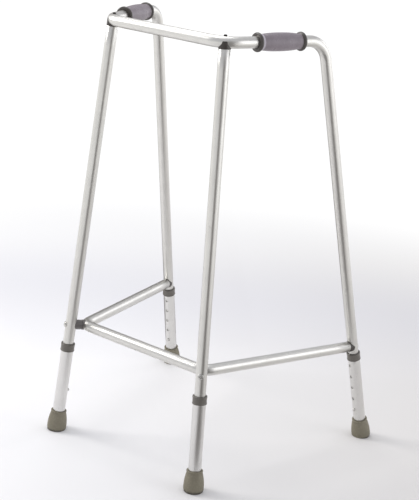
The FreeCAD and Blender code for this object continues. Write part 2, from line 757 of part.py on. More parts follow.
for leg in legs.values():
    # outer tube, with a row of holes on one side
    blank = straight_tube(
        f"lower_tube_{leg.name}", lower_r, lower_bore_r, tube_bottom, leg.tube_top, leg.placement
    )
    holes = [
        rod(
            f"hole_{leg.name}_{number}",
            dim("hole_dia") / 2,
            0.0,
            lower_r + overrun,
            leg.across(leg.lowest_hole + dim("hole_pitch") * number),
        )
        for number in range(int(dim("hole_count").value))
    ]
    add_part(cut(f"lower_leg_{leg.name}", blank, *holes), f"lower_leg_tube_{leg.name}")

    # collar: caps the outer tube and guides the inner one
    low = leg.collar_middle - dim("collar_length") / 2
    high = leg.collar_middle + dim("collar_length") / 2
    guide_r = tube_r + dim("running_clearance")
    outer_r = dim("collar_od") / 2
    bottom_edge = dim("collar_bottom_edge")
    top_edge = dim("collar_top_edge")
    mouth_edge = dim("collar_mouth_edge")
    collar = turned_body(
        f"collar_{leg.name}",
        [
            (lower_r, low),
            (outer_r - bottom_edge, low),
            (outer_r, low + bottom_edge),
            (outer_r, high - top_edge),
            (outer_r - top_edge, high),
            (guide_r + mouth_edge, high),
            (guide_r, high - mouth_edge),
            (guide_r, leg.tube_top),
            (lower_r, leg.tube_top),
        ],
        leg.placement,
    )
    add_part(collar, f"leg_collar_{leg.name}")

    # rubber foot: a bellied cup, cut flat where it meets the floor
    rim_r = dim("ferrule_rim_od") / 2
    base_r = dim("ferrule_base_od") / 2
    sole_r = base_r - dim("ferrule_sole_inset")
    below = dim("ferrule_floor") * -1.3
    height = dim("ferrule_height")
    lip = dim("ferrule_lip")
    lip_low = height - dim("ferrule_lip_width")
    cup = turned_body(
        f"ferrule_cup_{leg.name}",
        [
            (0.0, below),
            (sole_r, below),
            (sole_r, 0.0),
            (base_r, dim("ferrule_sole_edge")),
            (base_r - dim("ferrule_belly_inset"), height * dim("ferrule_belly_share"), "via"),
            (rim_r - lip, lip_low - lip),
            (rim_r, lip_low),
            (rim_r, height - lip),
            (rim_r - lip, height),
            (lower_r, height),
            (lower_r, dim("ferrule_floor")),
            (0.0, dim("ferrule_floor")),
        ],
        leg.placement,
    )
    add_part(cut(f"ferrule_{leg.name}", cup, floor), f"ferrule_{leg.name}")

    # steel washer between the tube's end and the rubber
    washer_r = lower_r - dim("washer_clearance")
    washer = rod(f"washer_{leg.name}", washer_r, dim("ferrule_floor"), tube_bottom, leg.placement)
    add_part(washer, f"ferrule_washer_{leg.name}")

    # glide plug in the inner tube's end
    spigot_r = tube_bore_r - dim("spigot_clearance")
    glide_r = lower_bore_r - dim("running_clearance")
    glide_low = leg.inner_end - dim("glide_head")
    glide_top = leg.inner_end + dim("glide_plug")
    glide = turned_body(
        f"glide_{leg.name}",
        [
            (0.0, glide_low),
            (glide_r - dim("glide_edge"), glide_low),
            (glide_r, glide_low + dim("glide_edge")),
            (glide_r, leg.inner_end),
            (spigot_r, leg.inner_end),
            (spigot_r, glide_top),
            (0.0, glide_top),
        ],
        leg.placement,
    )
    add_part(glide, f"inner_tube_glide_{leg.name}")

    # snap button: a domed cup on a thin flange that stops inside the inner tube's wall
    button_r = dim("button_dia") / 2
    flange_top = tube_bore_r - dim("button_flange_clearance")
    crown = lower_r + dim("button_standout")
    button = turned_body(
        f"button_{leg.name}",
        [
            (0.0, flange_top - dim("button_flange_thickness")),
            (dim("button_flange_dia") / 2, flange_top - dim("button_flange_thickness")),
            (dim("button_flange_dia") / 2, flange_top),
            (button_r, flange_top),
            (button_r, crown - dim("button_dome")),
            (button_r * 0.8, crown - dim("button_dome") * 0.32, "via"),
            (button_r * 0.3, crown),
            (0.0, crown),
        ],
        leg.across(leg.button_at),
    )
    add_part(button, f"snap_button_{leg.name}")

    # leaf spring: a V of strip, one arm behind the button and the other on the tube's far wall
    strip = dim("spring_thickness")
    behind = flange_top - dim("button_flange_thickness") - dim("spring_gap")
    far_wall = tube_bore_r - dim("button_flange_clearance")
    low = leg.button_at - dim("spring_tail")
    knee = leg.button_at + dim("spring_tail")
    bend = leg.button_at + dim("spring_arm")
    arms_meet = bend - strip
    spring = doc.addObject("PartDesign::Body", f"spring_{leg.name}")
    sketch = new_sketch(spring, f"spring_outline_{leg.name}", "XZ_Plane")
    draw_outline(
        sketch,
        [
            (behind - strip, low),
            (behind, low),
            (behind, knee),
            (strip * 1.6, arms_meet),
            (0.0, bend + strip * 1.4, "via"),
            (-strip * 1.6, arms_meet),
            (-far_wall, knee),
            (-far_wall, low),
            (strip - far_wall, low),
            (strip - far_wall, knee),
            (-strip * 0.7, arms_meet),
            (0.0, bend - strip * 0.4, "via"),
            (strip * 0.7, arms_meet),
            (behind - strip, knee),
        ],
    )
    pad = spring.newObject("PartDesign::Pad", f"spring_pad_{leg.name}")
    pad.Profile = sketch
    bind(pad, "Length", dim("spring_width"))
    pad.Midplane = True
    spring.Tip = pad
    spring.Placement = leg.placement
    add_part(spring, f"snap_spring_{leg.name}")

# ---------------------------------------------------------------- check and write

doc.recompute()
for obj in doc.Objects:
    if "Invalid" in obj.State or "Error" in obj.State:
        raise RuntimeError(f"{obj.Name} failed: {obj.State}")
for node, obj in parts.items():
    if obj.Shape.isNull() or not obj.Shape.isValid():
        raise RuntimeError(f"{node} has no valid shape")

os.makedirs("parts", exist_ok=True)
for node, obj in parts.items():
    obj.Shape.exportStep(f"parts/{node}.step")
    box = obj.Shape.BoundBox
    print(
        f"{node}: {len(obj.Shape.Solids)} solids, {obj.Shape.Volume:.0f} mm3, "
        f"x {box.XMin:.1f}..{box.XMax:.1f} y {box.YMin:.1f}..{box.YMax:.1f} z {box.ZMin:.1f}..{box.ZMax:.1f}"
    )
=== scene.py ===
import json
import math

import bmesh
import bpy
from mathutils import Matrix, Vector


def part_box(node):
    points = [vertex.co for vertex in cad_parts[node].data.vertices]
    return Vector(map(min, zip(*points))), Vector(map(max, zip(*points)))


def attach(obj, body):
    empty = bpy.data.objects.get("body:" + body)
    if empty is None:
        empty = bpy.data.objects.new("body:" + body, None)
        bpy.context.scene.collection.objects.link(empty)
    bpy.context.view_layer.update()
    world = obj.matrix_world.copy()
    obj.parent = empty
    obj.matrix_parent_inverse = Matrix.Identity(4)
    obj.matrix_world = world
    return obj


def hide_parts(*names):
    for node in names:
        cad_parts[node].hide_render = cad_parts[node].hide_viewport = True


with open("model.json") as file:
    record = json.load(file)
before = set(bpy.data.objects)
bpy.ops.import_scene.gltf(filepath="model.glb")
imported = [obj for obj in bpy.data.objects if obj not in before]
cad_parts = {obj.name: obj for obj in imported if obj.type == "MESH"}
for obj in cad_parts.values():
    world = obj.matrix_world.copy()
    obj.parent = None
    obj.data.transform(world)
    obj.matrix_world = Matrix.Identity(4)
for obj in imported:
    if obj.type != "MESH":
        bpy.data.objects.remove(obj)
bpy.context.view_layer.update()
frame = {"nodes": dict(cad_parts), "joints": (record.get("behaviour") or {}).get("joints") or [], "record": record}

# ---------------------------------------------------------------- main frame tube
# One length of drawn aluminium tube, bent cold into a rear leg, a handle, the front rail, the
# other handle and the other rear leg, then anodised satin. Its lower ends are drilled for the
# snap buttons and the brace's screws, and its two front bends for the saddle screws.

TUBE_R = 0.0111
TUBE_BORE_R = 0.0095
HANDLE_BEND = 0.048
CORNER_BEND = 0.045
FASTENER_HOLE_R = 0.0032
BUTTON_HOLE_R = 0.0034
SADDLE_HOLE_R = 0.0025

mounts = {mount["name"]: Vector(mount["pos_m"]) for mount in frame["record"]["mounts"]}
joint_axes = {joint["name"]: Vector(joint["axis"]) for joint in frame["joints"]}
handle_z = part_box("main_frame_tube")[1].z - TUBE_R
SIDES = {"left": 1, "right": -1}


class Leg:
    """A leg's own line, from the record: it stands on a foot mount and slides along its axis."""

    def __init__(self, end, side):
        self.name = f"{end}_{side}"
        self.end = end
        self.foot = mounts[f"foot_{self.name}"]
        self.up = -joint_axes[f"{self.name}_height"]
        self.facing = -joint_axes[f"{self.name}_button_press"]
        self.top = self.foot + self.up * (handle_z / self.up.z)
        low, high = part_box(f"snap_button_{self.name}")
        self.button_at = ((low + high) / 2 - self.foot).dot(self.up)

    def at(self, along):
        return self.foot + self.up * along


legs = {(end, side): Leg(end, side) for end in ("front", "rear") for side in SIDES}


def mirrored(point):
    return Vector((-point.x, point.y, point.z))


def corner_over(leg, next_corner, run, radius):
    """The sharp corner of a bend whose middle passes over a point, and whose first run is given."""
    corner = leg.copy()
    for _ in range(6):
        onward = (next_corner - corner).normalized()
        half_turn = (math.pi - run.angle(onward)) / 2
        corner = leg - (run + onward).normalized() * (radius / math.cos(half_turn) - radius)
    return corner


class Route:
    """A tube's centre line: straight runs joined by tangent arcs."""

    def __init__(self, corners, radii):
        self.runs = []
        start = corners[0]
        across = Vector((0, 0, 1)).cross(corners[1] - corners[0])
        if across.length < 1e-6:
            across = Vector((1, 0, 0))
        side = across.normalized()
        for before, corner, after, radius in zip(corners, corners[1:], corners[2:], radii):
            back = (before - corner).normalized()
            onward = (after - corner).normalized()
            turn = math.pi - back.angle(onward)
            tangent = radius * math.tan(turn / 2)
            side = self.add_run(start, corner + back * tangent, side)
            axis = back.cross(onward).normalized() * -1
            centre = corner + (back + onward).normalized() * (radius / math.cos(turn / 2))
            self.runs.append((radius * turn, corner + back * tangent, -back, side, axis, centre, turn))
            side = Matrix.Rotation(turn, 3, axis) @ side
            start = corner + onward * tangent
        self.add_run(start, corners[-1], side)
        self.length = sum(run[0] for run in self.runs)

    def add_run(self, start, finish, side):
        direction = (finish - start).normalized()
        side = (side - direction * side.dot(direction)).normalized()
        self.runs.append(((finish - start).length, start, direction, side, None, None, 0.0))
        return side

    def at(self, along):
        """The centre, and two unit vectors across the tube, at a distance along it."""
        for length, start, direction, side, axis, centre, turn in self.runs:
            if along <= length + 1e-9:
                break
            along -= length
        if axis is None:
            point = start + direction * along
        else:
            spin = Matrix.Rotation(turn * along / length, 3, axis)
            point = centre + spin @ (start - centre)
            direction = spin @ direction
            side = spin @ side
        return point, side, direction.cross(side)

    def stations(self, longest=0.04, finest=math.radians(4)):
        """Distances along the route where rings are wanted: often in a bend, seldom on a run."""
        found = [0.0]
        for length, _, _, _, axis, _, turn in self.runs:
            count = math.ceil(turn / finest) if axis is not None else math.ceil(length / longest)
            start = found[-1]
            found += [start + length * step / count for step in range(1, count + 1)]
        return found


def surface_piece(name, make, grain):
    """A mesh object from a bmesh, with each vertex's place in the piece's own straight frame."""
    data = bpy.data.meshes.new(name)
    bmesh.ops.recalc_face_normals(make, faces=make.faces)
    make.verts.index_update()
    make.to_mesh(data)
    make.free()
    attribute = data.attributes.new("grain", "FLOAT_VECTOR", "POINT")
    attribute.data.foreach_set("vector", [value for place in grain for value in place])
    data.shade_smooth()
    piece = bpy.data.objects.new(name, data)
    bpy.context.scene.collection.objects.link(piece)
    return piece


def drilled_tube(name, route, outer, bore, holes, around=48):
    """A tube along a route, open at both ends, with round holes drilled through its wall.
    Each hole is a distance along the route, a direction from the centre line, and a radius."""
    make = bmesh.new()
    grain = []
    cell = math.tau / around
    edge = 0.0003

    def vertex(angle, along, radius):
        centre, side, other = route.at(min(max(along, 0.0), route.length))
        grain.append((radius * math.cos(angle), radius * math.sin(angle), along))
        return make.verts.new(centre + (side * math.cos(angle) + other * math.sin(angle)) * radius)

    reach = 3 * cell * outer
    blocks = []
    lines = set(route.stations())
    for along, towards, radius in holes:
        _, side, other = route.at(along)
        angle = math.atan2(towards.dot(other), towards.dot(side))
        lines = {line for line in lines if abs(line - along) > reach * 1.15}
        blocks.append((along, angle, radius, round(angle / cell) - 3))
    for along, _, _, _ in blocks:
        lines |= {along + reach * step / 3 for step in range(-3, 4)}
    lines |= {edge, route.length - edge}
    lines = sorted(lines)
    lines = [line for line, after in zip(lines, lines[1:] + [1e9]) if after - line > 1e-5]

    def inside(block, i, j, shrink):
        along, _, _, first = block
        turn = (i - first) % around
        near = abs(lines[j] - along) < reach - shrink * 1e-5 + (1 - shrink) * 1e-5
        return near and (0 < turn < 6 if shrink else 0 <= turn <= 6)

    def ring_radius(j, radius):
        at_end = j in (0, len(lines) - 1)
        return radius + (edge if radius == bore else -edge) * at_end

    walls = {}
    for radius in (outer, bore):
        walls[radius] = {
            (i, j): vertex(i * cell, lines[j], ring_radius(j, radius))
            for j in range(len(lines))
            for i in range(around)
            if not any(inside(block, i, j, True) for block in blocks)
        }
        wall = walls[radius]
        for j in range(len(lines) - 1):
            for i in range(around):
                corners = [(i, j), ((i + 1) % around, j), ((i + 1) % around, j + 1), (i, j + 1)]
                drilled = any(
                    inside(block, i, j, False)
                    and inside(block, i, j + 1, False)
                    and (i - block[3]) % around < 6
                    for block in blocks
                )
                if not drilled:
                    face = make.faces.new([wall[corner] for corner in corners])
                    face.material_index = int(radius == bore)
    for j in (0, len(lines) - 1):
        for i in range(around):
            here, there = (i, j), ((i + 1) % around, j)
            make.faces.new([walls[outer][here], walls[outer][there], walls[bore][there], walls[bore][here]])

    for block in blocks:
        along, angle, radius, first = block
        rows = [j for j in range(len(lines)) if abs(lines[j] - along) < reach + 1e-5]
        loop = [(first + step, rows[0]) for step in range(6)]
        loop += [(first + 6, j) for j in rows[:-1]]
        loop += [(first + 6 - step, rows[-1]) for step in range(6)]
        loop += [(first, j) for j in reversed(rows[1:])]
        turns = [
            math.atan2(lines[j] - along, (math.remainder(i * cell - angle, math.tau)) * outer)
            for i, j in loop
        ]

        def circle(size, depth):
            return [
                vertex(angle + size * math.cos(turn) / outer, along + size * math.sin(turn), depth)
                for turn in turns
            ]

        rings = [
            [walls[outer][(i % around, j)] for i, j in loop],
            circle(radius + 0.0004, outer),
            circle(radius, outer - 0.0003),
            circle(radius, bore),
            [walls[bore][(i % around, j)] for i, j in loop],
        ]
        for order, (near, far) in enumerate(zip(rings, rings[1:])):
            for k in range(len(loop)):
                nxt = (k + 1) % len(loop)
                face = make.faces.new([near[k], near[nxt], far[nxt], far[k]])
                face.material_index = int(order > 1)
    return surface_piece(name, make, grain)


def node_tree(name):
    """An empty material, with its node-making function and its shader."""
    material = bpy.data.materials.new(name)
    material.use_nodes = True
    tree = material.node_tree
    shader = tree.nodes["Principled BSDF"]

    def add(kind, inputs=None, **settings):
        node = tree.nodes.new(kind)
        for key, value in settings.items():
            setattr(node, key, value)
        for key, value in (inputs or {}).items():
            if isinstance(value, bpy.types.NodeSocket):
                tree.links.new(value, node.inputs[key])
            else:
                node.inputs[key].default_value = value
        return node

    return material, add, shader, tree


def blended(add, share, one, other):
    """A colour between two others."""
    return add("ShaderNodeMix", {0: share, 6: one, 7: other}, data_type="RGBA").outputs[2]


def ranged(add, value, low, high, to_low=0.0, to_high=1.0, **settings):
    """A value moved from one range to another, and kept inside it."""
    ends = {"From Min": low, "From Max": high, "To Min": to_low, "To Max": to_high}
    return add("ShaderNodeMapRange", {"Value": value, **ends}, **settings).outputs[0]


def shaded(tree, shader, colour, roughness, bump, metallic=0.0):
    """Joins a finish's colour, roughness and bump to its shader."""
    tree.links.new(colour, shader.inputs["Base Color"])
    tree.links.new(roughness, shader.inputs["Roughness"])
    tree.links.new(bump, shader.inputs["Normal"])
    shader.inputs["Metallic"].default_value = metallic


def satin_anodised(name, light, dark, smooth, rough):
    """Drawn and anodised aluminium: fine die lines along the tube, cloudy etching, small scuffs, and
    painted shade where an ambient occlusion test finds crevices, hole walls and close gaps.
    """
    material, add, shader, tree = node_tree(name)
    place = add("ShaderNodeAttribute", attribute_name="grain").outputs["Vector"]
    stretched = add("ShaderNodeMapping", {"Vector": place, "Scale": (1.0, 1.0, 0.012)}).outputs[0]
    lines = add("ShaderNodeTexNoise", {"Vector": stretched, "Scale": 2600.0, "Detail": 4.0}).outputs[0]
    clouds = add("ShaderNodeTexNoise", {"Vector": place, "Scale": 38.0, "Detail": 5.0}).outputs[0]
    scuffs = add("ShaderNodeTexNoise", {"Vector": place, "Scale": 210.0, "Detail": 8.0, "Distortion": 1.4})
    worn = ranged(add, scuffs.outputs[0], 0.62, 0.75)
    tone = blended(add, clouds, light, dark)
    shown = blended(add, worn, tone, [value * 0.9 for value in dark[:3]] + [1.0])
    # painted shade: ambient occlusion darkens the colour nearly to black in crevices, hole walls and gaps
    open_air = add("ShaderNodeAmbientOcclusion", {"Distance": 0.0035}, samples=4).outputs["AO"]
    painted_shade_share = ranged(add, open_air, 0.62, 0.2)
    crevice_painted_shade = blended(add, painted_shade_share, shown, (0.06, 0.055, 0.05, 1.0))
    mixed = add("ShaderNodeMath", {0: lines, 1: clouds}, operation="ADD").outputs[0]
    spread = ranged(add, mixed, 0.6, 1.4, smooth, rough)
    scuffed = add("ShaderNodeMath", {0: worn, 1: 0.08, 2: spread}, operation="MULTIPLY_ADD").outputs[0]
    bump = add("ShaderNodeBump", {"Height": lines, "Strength": 0.06, "Distance": 0.00006}).outputs[0]
    shaded(tree, shader, crevice_painted_shade, scuffed, bump, 1.0)
    return material


def dull_bore(name):
    """The unpolished inside of a tube and its drilled holes: painted near-black shade, swarf marks."""
    material, add, shader, tree = node_tree(name)
    place = add("ShaderNodeAttribute", attribute_name="grain").outputs["Vector"]
    marks = add("ShaderNodeTexNoise", {"Vector": place, "Scale": 340.0, "Detail": 6.0}).outputs[0]
    # painted shade: the bore and hole walls are near-black so the tube's inside and its holes read dark
    tone = blended(add, marks, (0.10, 0.10, 0.095, 1.0), (0.03, 0.03, 0.028, 1.0))
    spread = ranged(add, marks, 0.0, 1.0, 0.55, 0.8)
    bump = add("ShaderNodeBump", {"Height": marks, "Strength": 0.3, "Distance": 0.00008}).outputs[0]
    shaded(tree, shader, tone, spread, bump, 0.6)
    return material


upper_aluminium = satin_anodised(
    "upper_tube_satin", (0.72, 0.71, 0.68, 1.0), (0.64, 0.63, 0.60, 1.0), 0.31, 0.41
)
# every tube's bore and hole walls get this painted shade
bore_painted_shade = dull_bore("tube_bore")


def fitted(piece, body, slot_name, material, *nodes):
    """Finishes a piece and puts it on its body in place of its plain solid."""
    piece.data.materials.clear()
    piece.data.materials.append(material)
    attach(piece, body)
    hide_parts(*nodes)
    return piece


rear_left = legs["rear", "left"]
INNER_END = 0.020
handle_rear = rear_left.top
handle_front = corner_over(legs["front", "left"].top, handle_rear, Vector((-1, 0, 0)), CORNER_BEND)
left_corners = [rear_left.at(rear_left.button_at - INNER_END), handle_rear, handle_front]
main_route = Route(
    left_corners + [mirrored(corner) for corner in reversed(left_corners)],
    [HANDLE_BEND, CORNER_BEND, CORNER_BEND, HANDLE_BEND],
)

# where the brace meets the four legs: its rear ends, its front bolts and the bends between
BRACE_REAR_Z = 0.217
BRACE_BEND = 0.028
BOLT_Z = 0.2352
SPACER_GAP = 0.0133
front_left = legs["front", "left"]
bolt_at = BOLT_Z / front_left.up.z
join_at = BRACE_REAR_Z / rear_left.up.z
bend_middle = front_left.at(bolt_at) + front_left.facing * (TUBE_R * 2 + SPACER_GAP)
brace_corner = corner_over(bend_middle, rear_left.at(join_at), Vector((-1, 0, 0)), BRACE_BEND)
brace_run = (brace_corner - rear_left.at(join_at)).normalized()

main_holes = []
for from_end in (False, True):
    def along_tube(distance):
        return main_route.length - distance if from_end else distance

    leg = legs["rear", "right" if from_end else "left"]
    run = mirrored(brace_run) if from_end else brace_run
    slope = run.dot(leg.up) / run.dot(leg.facing) * TUBE_R
    screw_at = join_at - (leg.button_at - INNER_END)
    main_holes.append((along_tube(INNER_END), leg.facing, BUTTON_HOLE_R))
    main_holes.append((along_tube(screw_at + slope), leg.facing, FASTENER_HOLE_R))
    main_holes.append((along_tube(screw_at - slope), -leg.facing, FASTENER_HOLE_R))
    bend_at = sum(run[0] for run in main_route.runs[:3]) + main_route.runs[3][0] / 2
    main_holes.append((along_tube(bend_at), Vector((0, 0, 1)), SADDLE_HOLE_R))
    main_holes.append((along_tube(bend_at), Vector((0, 0, -1)), SADDLE_HOLE_R))

main_tube = drilled_tube("bent_frame_tube", main_route, TUBE_R, TUBE_BORE_R, main_holes)
fitted(main_tube, "frame", "upper_tube_aluminium", upper_aluminium, "main_frame_tube")
main_tube.data.materials.append(bore_painted_shade)

# ---------------------------------------------------------------- front leg tubes
# Two straight lengths of the same tube. Each is drilled across for the brace's bolt and the snap
# button, and pushed up onto the plug under the frame's front bend.

SADDLE_FLANGE = 0.0012
for side in SIDES:
    leg = legs["front", side]
    start = leg.button_at - INNER_END
    top = (leg.top - leg.foot).length - TUBE_R - SADDLE_FLANGE
    route = Route([leg.at(start), leg.at(top)], [])
    holes = [
        (INNER_END, leg.facing, BUTTON_HOLE_R),
        (bolt_at - start, leg.facing, FASTENER_HOLE_R),
        (bolt_at - start, -leg.facing, FASTENER_HOLE_R),
    ]
    tube = drilled_tube(f"front_upright_{side}", route, TUBE_R, TUBE_BORE_R, holes)
    fitted(tube, "frame", "upper_tube_aluminium", upper_aluminium, f"front_leg_tube_{side}")
    tube.data.materials.append(bore_painted_shade)

# ---------------------------------------------------------------- brace tube
# One more length of the tube, bent into a shallow U that ties the four legs together. It is bolted
# inside the front legs at its two bends, and ends square against the rear legs.

BRACE_END_GAP = 0.0043
brace_tip = rear_left.at(join_at) + brace_run * (TUBE_R + BRACE_END_GAP)
brace_route = Route(
    [brace_tip, brace_corner, mirrored(brace_corner), mirrored(brace_tip)],
    [BRACE_BEND, BRACE_BEND],
)
brace_bend_at = brace_route.runs[0][0] + brace_route.runs[1][0] / 2
brace_holes = []
for side, along in (("left", brace_bend_at), ("right", brace_route.length - brace_bend_at)):
    facing = legs["front", side].facing
    brace_holes.append((along, facing, FASTENER_HOLE_R))
    brace_holes.append((along, -facing, FASTENER_HOLE_R))
brace_tube = drilled_tube("bent_brace_tube", brace_route, TUBE_R, TUBE_BORE_R, brace_holes)
fitted(brace_tube, "frame", "upper_tube_aluminium", upper_aluminium, "brace_tube")
brace_tube.data.materials.append(bore_painted_shade)

# ---------------------------------------------------------------- saddle plugs and screws
# Moulded nylon plugs in the tops of the front leg tubes. A thin flange sits on the tube's end and
# two ears, narrow at the top, cradle the bend; one blackened screw goes down through the bend.

SPIGOT_R = 0.00945
SPIGOT_DEPTH = 0.022
EAR_RISE = 0.002
EAR_TOP_HALF = 0.004
SADDLE_R = 0.012


def turning_frame(origin, along, towards):
    """A placement with Z along a direction and X leaning towards another."""
    z_axis = along.normalized()
    x_axis = (towards - z_axis * towards.dot(z_axis)).normalized()
    turn = Matrix((x_axis, z_axis.cross(x_axis), z_axis)).transposed().to_4x4()
    return Matrix.Translation(origin) @ turn


def turned(name, place, profile, around=64, shape=None, ring=False):
    """A surface turned about the placement's Z from (radius, height) points, from one end to the
    other, or back to the first point for a ring. A shape rule may move each point."""
    make = bmesh.new()
    grain = []
    rows = []
    for radius, height in profile:
        row = []
        for step in range(around if radius > 1e-6 else 1):
            angle = math.tau * step / around
            reach, rise = shape(angle, radius, height) if shape else (radius, height)
            local = Vector((reach * math.cos(angle), reach * math.sin(angle), rise))
            grain.append(tuple(local))
            row.append(make.verts.new(place @ local))
        rows.append(row)
    pairs = list(zip(rows, rows[1:])) + ([(rows[-1], rows[0])] if ring else [])
    for lower, upper in pairs:
        for step in range(around):
            nxt = (step + 1) % around
            if len(lower) == 1 and len(upper) == 1:
                continue
            if len(lower) == 1:
                make.faces.new([lower[0], upper[nxt], upper[step]])
            elif len(upper) == 1:
                make.faces.new([lower[step], lower[nxt], upper[0]])
            else:
                make.faces.new([lower[step], lower[nxt], upper[nxt], upper[step]])
    return surface_piece(name, make, grain)


def eased(points, radius=0.0005, steps=3):
    """Rounds the corners of a profile a little, as a mould or a tumbler leaves them."""
    soft = [Vector(points[0])]
    for before, corner, after in zip(points, points[1:], points[2:]):
        before, corner, after = Vector(before), Vector(corner), Vector(after)
        back, onward = before - corner, after - corner
        reach = min(radius, back.length * 0.45, onward.length * 0.45)
        start, finish = corner + back.normalized() * reach, corner + onward.normalized() * reach
        for step in range(steps + 1):
            t = step / steps
            soft.append(start * (1 - t) ** 2 + corner * 2 * t * (1 - t) + finish * t**2)
    soft.append(Vector(points[-1]))
    return [tuple(point) for point in soft]


def moulded(name, base, light, dark, rough, stipple, speck, painted_light_zones=None):
    """A moulded plastic or rubber: cloudy tone, fine spark-etched stipple, pale rubbed edges."""
    material, add, shader, tree = node_tree(name)
    place = add("ShaderNodeAttribute", attribute_name="grain").outputs["Vector"]
    clouds = add("ShaderNodeTexNoise", {"Vector": place, "Scale": 60.0, "Detail": 6.0}).outputs[0]
    etch = add("ShaderNodeTexNoise", {"Vector": place, "Scale": stipple, "Detail": 3.0}).outputs[0]
    dust = add("ShaderNodeTexNoise", {"Vector": place, "Scale": 420.0, "Detail": 9.0, "Roughness": 0.7})
    tone = blended(add, clouds, base, dark)
    specks = ranged(add, dust.outputs[0], 0.56, 0.74, 0.0, speck)
    dusty = blended(add, specks, tone, light)
    edges = add("ShaderNodeNewGeometry").outputs["Pointiness"]
    rubbed = ranged(add, edges, 0.52, 0.62, 0.0, 0.55)
    broken = add("ShaderNodeMath", {0: rubbed, 1: dust.outputs[0]}, operation="MULTIPLY").outputs[0]
    shown = blended(add, broken, dusty, light)
    # a grip's painted bead shade and groove highlight are laid on here
    if painted_light_zones:
        shown = painted_light_zones(add, place, shown)
    spread = ranged(add, clouds, 0.3, 0.7, rough - 0.07, rough + 0.07)
    bump = add("ShaderNodeBump", {"Height": etch, "Strength": 0.35, "Distance": 0.00012}).outputs[0]
    shaded(tree, shader, shown, spread, bump)
    return material


def fastener_metal(name, base, dark, rough):
    """A plated or blackened fastener: tumbled tone, tiny scratches, bright rubbed corners, and
    painted shade in its recesses.
    """
    material, add, shader, tree = node_tree(name)
    place = add("ShaderNodeAttribute", attribute_name="grain").outputs["Vector"]
    clouds = add("ShaderNodeTexNoise", {"Vector": place, "Scale": 260.0, "Detail": 5.0}).outputs[0]
    fine = add("ShaderNodeTexNoise", {"Vector": place, "Scale": 2400.0, "Detail": 3.0}).outputs[0]
    tone = blended(add, clouds, base, dark)
    edges = add("ShaderNodeNewGeometry").outputs["Pointiness"]
    rubbed = ranged(add, edges, 0.53, 0.6, 0.0, 0.6)
    worn = blended(add, rubbed, tone, [min(1.0, value * 1.35) for value in base[:3]] + [1.0])
    # painted shade: concave places such as cross-head recesses and the joint under a head go near-black
    recess_painted_shade = ranged(add, edges, 0.49, 0.42, 0.0, 0.9)
    shown = blended(add, recess_painted_shade, worn, (0.02, 0.02, 0.02, 1.0))
    spread = ranged(add, fine, 0.3, 0.7, rough - 0.06, rough + 0.08)
    bump = add("ShaderNodeBump", {"Height": fine, "Strength": 0.12, "Distance": 0.00003}).outputs[0]
    shaded(tree, shader, shown, spread, bump, 1.0)
    return material


def joined(name, pieces):
    """Makes one object of several alike, as the two screws of a pair."""
    keep = pieces[0]
    with bpy.context.temp_override(active_object=keep, selected_editable_objects=pieces):
        bpy.ops.object.join()
    keep.name = name
    keep.data.name = name
    return keep


saddle_nylon = moulded(
    "saddle_nylon",
    (0.050, 0.040, 0.034, 1.0),
    (0.18, 0.16, 0.14, 1.0),
    (0.030, 0.024, 0.020, 1.0),
    0.38,
    1500.0,
    0.25,
)
black_steel = fastener_metal("blackened_screw", (0.035, 0.030, 0.028, 1.0), (0.015, 0.013, 0.012, 1.0), 0.35)
saddle_screws = []
for side in SIDES:
    leg = legs["front", side]
    length = (leg.top - leg.foot).length
    seat = length - TUBE_R - SADDLE_FLANGE
    corner = handle_front if side == "left" else mirrored(handle_front)
    outwards = (corner - leg.top).normalized()
    place = turning_frame(leg.foot, leg.up, leg.up.cross(outwards))
    wide = SADDLE_R + 0.002
    shoulder = seat + SADDLE_FLANGE
    ear_tip = length + EAR_RISE

    def eared(angle, radius, height):
        if height < seat + 0.0011:
            return radius, height
        across = abs(radius * math.cos(angle))
        slant = (wide - across) / (wide - EAR_TOP_HALF) * (ear_tip - shoulder)
        return radius, min(shoulder + slant, ear_tip) - (length - height)

    profile = eased(
        [
            (0.0, seat - SPIGOT_DEPTH),
            (SPIGOT_R - 0.0006, seat - SPIGOT_DEPTH),
            (SPIGOT_R, seat - SPIGOT_DEPTH + 0.001),
            (SPIGOT_R, seat),
            (SADDLE_R - 0.0005, seat),
            (SADDLE_R, seat + 0.0005),
            (SADDLE_R, seat + 0.0010),
        ],
        0.0003,
    )
    profile += [(SADDLE_R, length - 0.0006), (SADDLE_R - 0.0002, length - 0.0002)]
    profile += [(SADDLE_R - 0.0006, length), (0.0100, length), (0.0075, length), (0.0, length)]
    plug = turned(f"saddle_{side}", place, profile, 96, eared)
    fitted(plug, "frame", "plug_plastic", saddle_nylon, f"saddle_plug_{side}")

    head_seat = length + TUBE_R + 0.0003
    screw = turned(
        f"saddle_screw_head_{side}",
        place,
        eased(
            [
                (0.0, seat - SPIGOT_DEPTH + 0.004),
                (0.0024, seat - SPIGOT_DEPTH + 0.0052),
                (0.0024, head_seat),
                (0.0033, head_seat),
                (0.0033, head_seat + 0.0013),
                (0.0026, head_seat + 0.0022),
                (0.0015, head_seat + 0.0025),
                (0.0013, head_seat + 0.0014),
                (0.0, head_seat + 0.0013),
            ],
            0.0004,
        ),
        48,
    )
    saddle_screws.append(screw)
fitted(joined("saddle_screw_pair", saddle_screws), "frame", "blackened_steel", black_steel, "saddle_screws")

# ---------------------------------------------------------------- brace spacers, bolts and nuts
# A dark moulded block, eight-sided with a lip towards the brace, holds the brace off each front
# leg. A plated cross-head bolt goes through leg, block and brace into a domed nut.

SPACER_R = 0.0105
BOLT_HEAD_R = 0.00575
BOLT_HEAD_H = 0.0036
NUT_R = 0.0055
NUT_H = 0.009
SHANK_R = 0.003
BOLT_LENGTH = 0.0518

spacer_plastic = moulded(
    "spacer_plastic",
    (0.140, 0.130, 0.125, 1.0),
    (0.34, 0.32, 0.31, 1.0),
    (0.095, 0.088, 0.084, 1.0),
    0.34,
    1700.0,
    0.3,
)
bright_steel = fastener_metal("bright_plating", (0.66, 0.65, 0.62, 1.0), (0.50, 0.49, 0.47, 1.0), 0.22)


